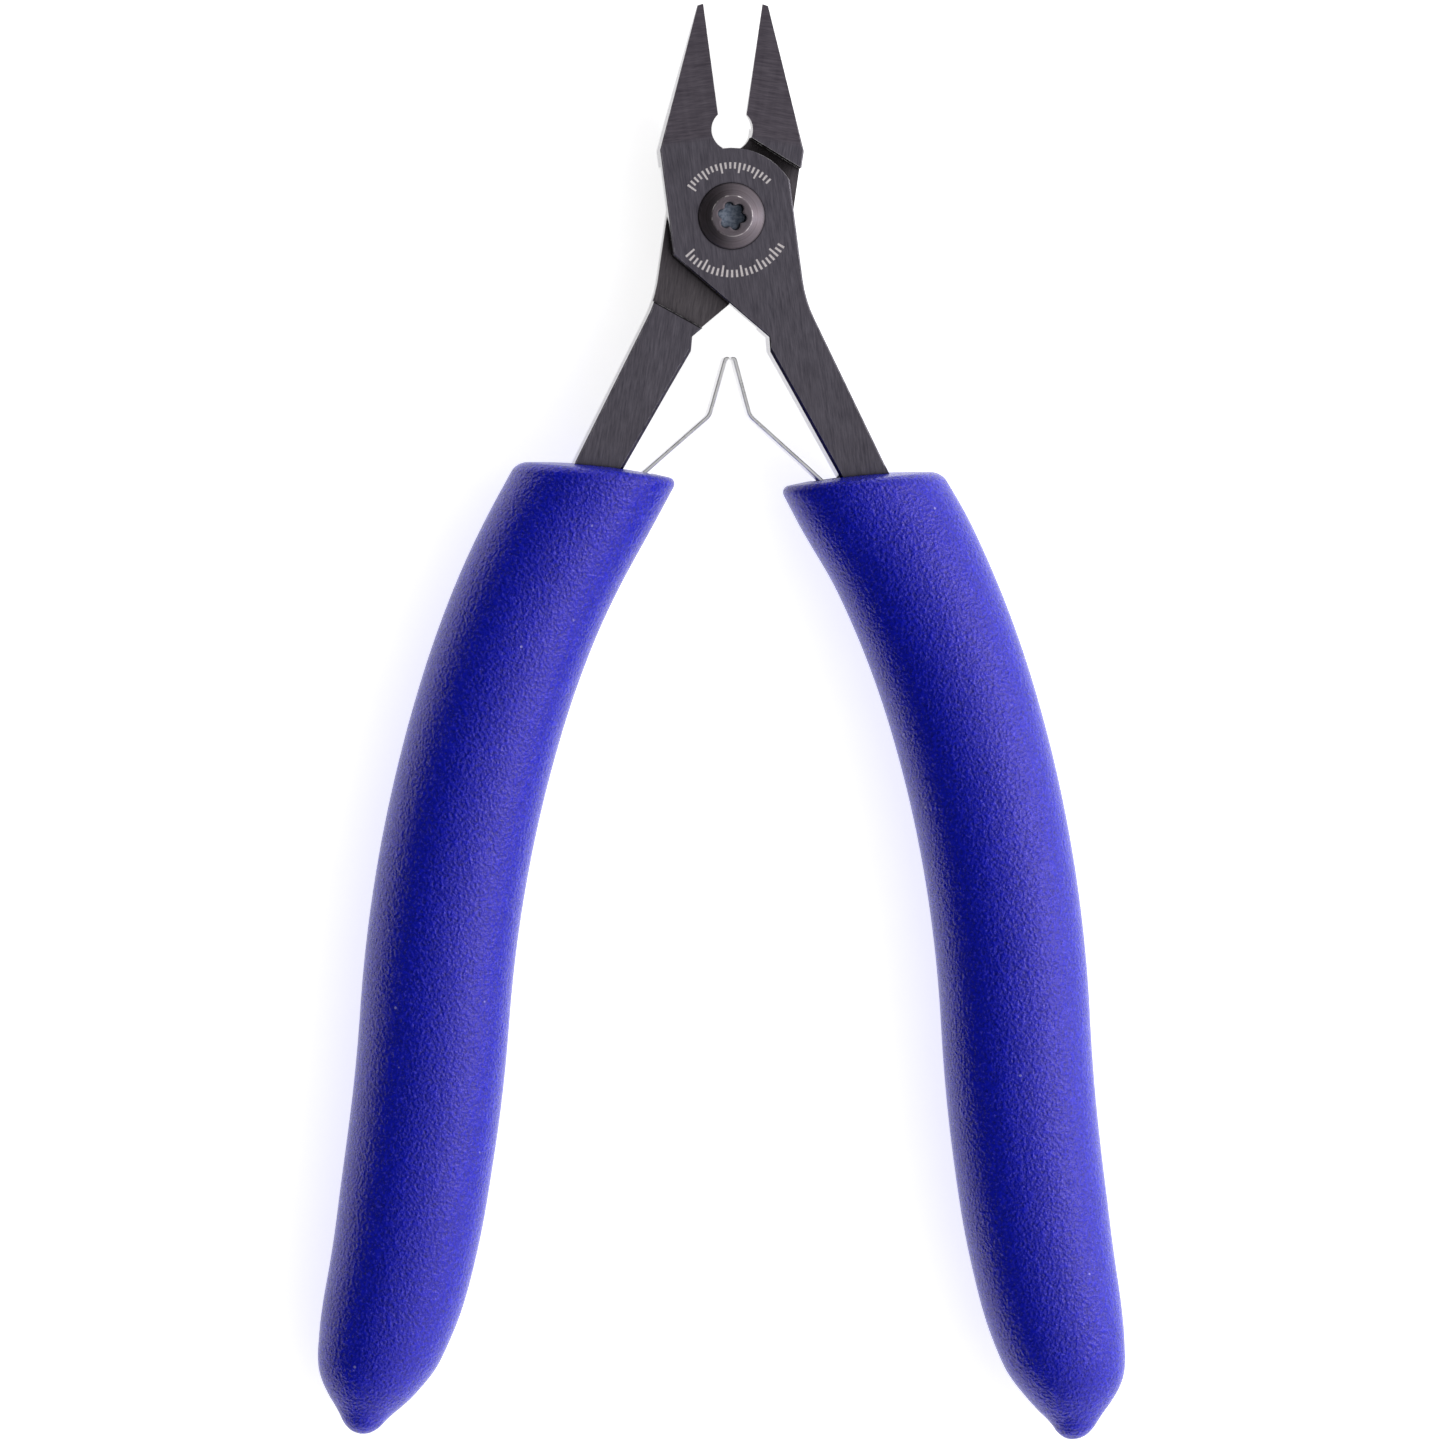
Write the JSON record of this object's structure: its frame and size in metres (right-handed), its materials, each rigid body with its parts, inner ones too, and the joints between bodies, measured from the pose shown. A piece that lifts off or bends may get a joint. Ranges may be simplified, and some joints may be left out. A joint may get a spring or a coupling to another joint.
{
  "type": "flush cutter",
  "caption": "Hand tool for cutting wire flush: lapped jaws on a pivot screw, held open by riveted leaf springs, with curved handles in cushioned grips.",
  "frame": {"origin": "on the pivot axis, in the back face of the head", "axes": "+Y along the tool towards the jaw tips, +Z out of the front face where the screw head is, +X to the right seen from the front"},
  "size_m": [0.0826, 0.1463, 0.014],
  "materials": {
    "steel": "dark brushed tool steel",
    "screw": "dark turned steel",
    "spring": "bare spring steel",
    "rivet": "bare steel",
    "grip": "fine pebble grain"
  },
  "bodies": {
    "rear": {"rear_half": "steel", "pivot_screw": "screw", "left_grip": "grip", "left_spring_foot": "spring", "left_spring_rivets": "rivet"},
    "front": {"front_half": "steel", "right_grip": "grip", "right_spring_foot": "spring", "right_spring_rivets": "rivet"},
    "right_leaf": {"right_spring_arm": "spring"},
    "left_leaf": {"left_spring_arm": "spring"}
  },
  "joints": [
    {"name": "pivot", "type": "hinge", "parent": "rear", "child": "front", "pos_m": [0, 0, 0], "axis": [0, 0, -1], "range_deg": [0, 15.8], "stiffness_Nm_per_rad": 1.3},
    {"name": "right_leaf_bend", "type": "hinge", "parent": "front", "child": "right_leaf", "pos_m": [0.01289, -0.02989, 0.0032], "axis": [0, 0, 1], "range_deg": [-7, 0]},
    {"name": "left_leaf_bend", "type": "hinge", "parent": "rear", "child": "left_leaf", "pos_m": [-0.01289, -0.02989, 0.0032], "axis": [0, 0, 1], "range_deg": [0, 7]}
  ],
  "couplings": [
    {"joint": "right_leaf_bend", "follows": "pivot", "ratio": -0.41},
    {"joint": "left_leaf_bend", "follows": "pivot", "ratio": 0.41}
  ]
}
